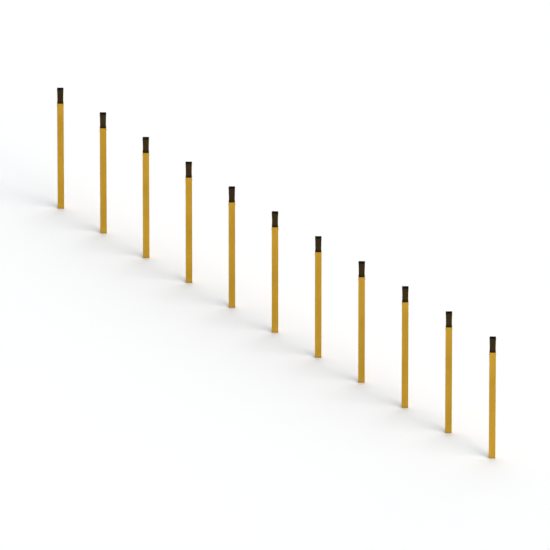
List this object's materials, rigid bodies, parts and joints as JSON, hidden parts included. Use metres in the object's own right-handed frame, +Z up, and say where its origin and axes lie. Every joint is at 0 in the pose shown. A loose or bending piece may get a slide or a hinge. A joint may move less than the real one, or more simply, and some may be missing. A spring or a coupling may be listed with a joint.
{
  "type": "weave poles",
  "caption": "Straight row of upright rectangular poles with tapered dark caps, each lifting out of a ground sleeve, for dogs to weave between.",
  "frame": {"origin": "on the middle pole's axis at ground level, which is the mouth of the middle sleeve; everything below Z = 0 is in the ground", "axes": "+X along the row of poles, +Z up, +Y to the side that makes the frame right-handed; the poles' wide faces are turned 45 degrees about Z from the row"},
  "size_m": [5.079, 0.079, 1.504],
  "materials": {
    "pole_plastic": "satin ochre yellow, coloured through, with a fine drawn grain along the pole",
    "cap_rubber": "matte dark brown moulded rubber, darker in the dished top",
    "screw_steel": "plain stainless steel",
    "plug_plastic": "matte black moulded plastic",
    "galvanised_steel": "dull hot-dip galvanised steel with a faint spangle"
  },
  "bodies": {
    "ground_sockets": {"ground_sleeve_01": "galvanised_steel", "ground_sleeve_02": "galvanised_steel", "ground_sleeve_03": "galvanised_steel", "ground_sleeve_04": "galvanised_steel", "ground_sleeve_05": "galvanised_steel", "ground_sleeve_06": "galvanised_steel", "ground_sleeve_07": "galvanised_steel", "ground_sleeve_08": "galvanised_steel", "ground_sleeve_09": "galvanised_steel", "ground_sleeve_10": "galvanised_steel", "ground_sleeve_11": "galvanised_steel", "socket_guide_plates": "galvanised_steel", "socket_base_plates": "galvanised_steel"},
    "pole_01": {"pole_tube_01": "pole_plastic", "top_cap_01": "cap_rubber", "cap_screws_01": "screw_steel", "foot_plug_01": "plug_plastic"},
    "pole_02": {"pole_tube_02": "pole_plastic", "top_cap_02": "cap_rubber", "cap_screws_02": "screw_steel", "foot_plug_02": "plug_plastic"},
    "pole_03": {"pole_tube_03": "pole_plastic", "top_cap_03": "cap_rubber", "cap_screws_03": "screw_steel", "foot_plug_03": "plug_plastic"},
    "pole_04": {"pole_tube_04": "pole_plastic", "top_cap_04": "cap_rubber", "cap_screws_04": "screw_steel", "foot_plug_04": "plug_plastic"},
    "pole_05": {"pole_tube_05": "pole_plastic", "top_cap_05": "cap_rubber", "cap_screws_05": "screw_steel", "foot_plug_05": "plug_plastic"},
    "pole_06": {"pole_tube_06": "pole_plastic", "top_cap_06": "cap_rubber", "cap_screws_06": "screw_steel", "foot_plug_06": "plug_plastic"},
    "pole_07": {"pole_tube_07": "pole_plastic", "top_cap_07": "cap_rubber", "cap_screws_07": "screw_steel", "foot_plug_07": "plug_plastic"},
    "pole_08": {"pole_tube_08": "pole_plastic", "top_cap_08": "cap_rubber", "cap_screws_08": "screw_steel", "foot_plug_08": "plug_plastic"},
    "pole_09": {"pole_tube_09": "pole_plastic", "top_cap_09": "cap_rubber", "cap_screws_09": "screw_steel", "foot_plug_09": "plug_plastic"},
    "pole_10": {"pole_tube_10": "pole_plastic", "top_cap_10": "cap_rubber", "cap_screws_10": "screw_steel", "foot_plug_10": "plug_plastic"},
    "pole_11": {"pole_tube_11": "pole_plastic", "top_cap_11": "cap_rubber", "cap_screws_11": "screw_steel", "foot_plug_11": "plug_plastic"}
  },
  "joints": [
    {"name": "pole_01_lift_out", "type": "slide", "parent": "ground_sockets", "child": "pole_01", "axis": [0, 0, 1], "range_m": [0, 0.3]},
    {"name": "pole_02_lift_out", "type": "slide", "parent": "ground_sockets", "child": "pole_02", "axis": [0, 0, 1], "range_m": [0, 0.3]},
    {"name": "pole_03_lift_out", "type": "slide", "parent": "ground_sockets", "child": "pole_03", "axis": [0, 0, 1], "range_m": [0, 0.3]},
    {"name": "pole_04_lift_out", "type": "slide", "parent": "ground_sockets", "child": "pole_04", "axis": [0, 0, 1], "range_m": [0, 0.3]},
    {"name": "pole_05_lift_out", "type": "slide", "parent": "ground_sockets", "child": "pole_05", "axis": [0, 0, 1], "range_m": [0, 0.3]},
    {"name": "pole_06_lift_out", "type": "slide", "parent": "ground_sockets", "child": "pole_06", "axis": [0, 0, 1], "range_m": [0, 0.3]},
    {"name": "pole_07_lift_out", "type": "slide", "parent": "ground_sockets", "child": "pole_07", "axis": [0, 0, 1], "range_m": [0, 0.3]},
    {"name": "pole_08_lift_out", "type": "slide", "parent": "ground_sockets", "child": "pole_08", "axis": [0, 0, 1], "range_m": [0, 0.3]},
    {"name": "pole_09_lift_out", "type": "slide", "parent": "ground_sockets", "child": "pole_09", "axis": [0, 0, 1], "range_m": [0, 0.3]},
    {"name": "pole_10_lift_out", "type": "slide", "parent": "ground_sockets", "child": "pole_10", "axis": [0, 0, 1], "range_m": [0, 0.3]},
    {"name": "pole_11_lift_out", "type": "slide", "parent": "ground_sockets", "child": "pole_11", "axis": [0, 0, 1], "range_m": [0, 0.3]}
  ]
}
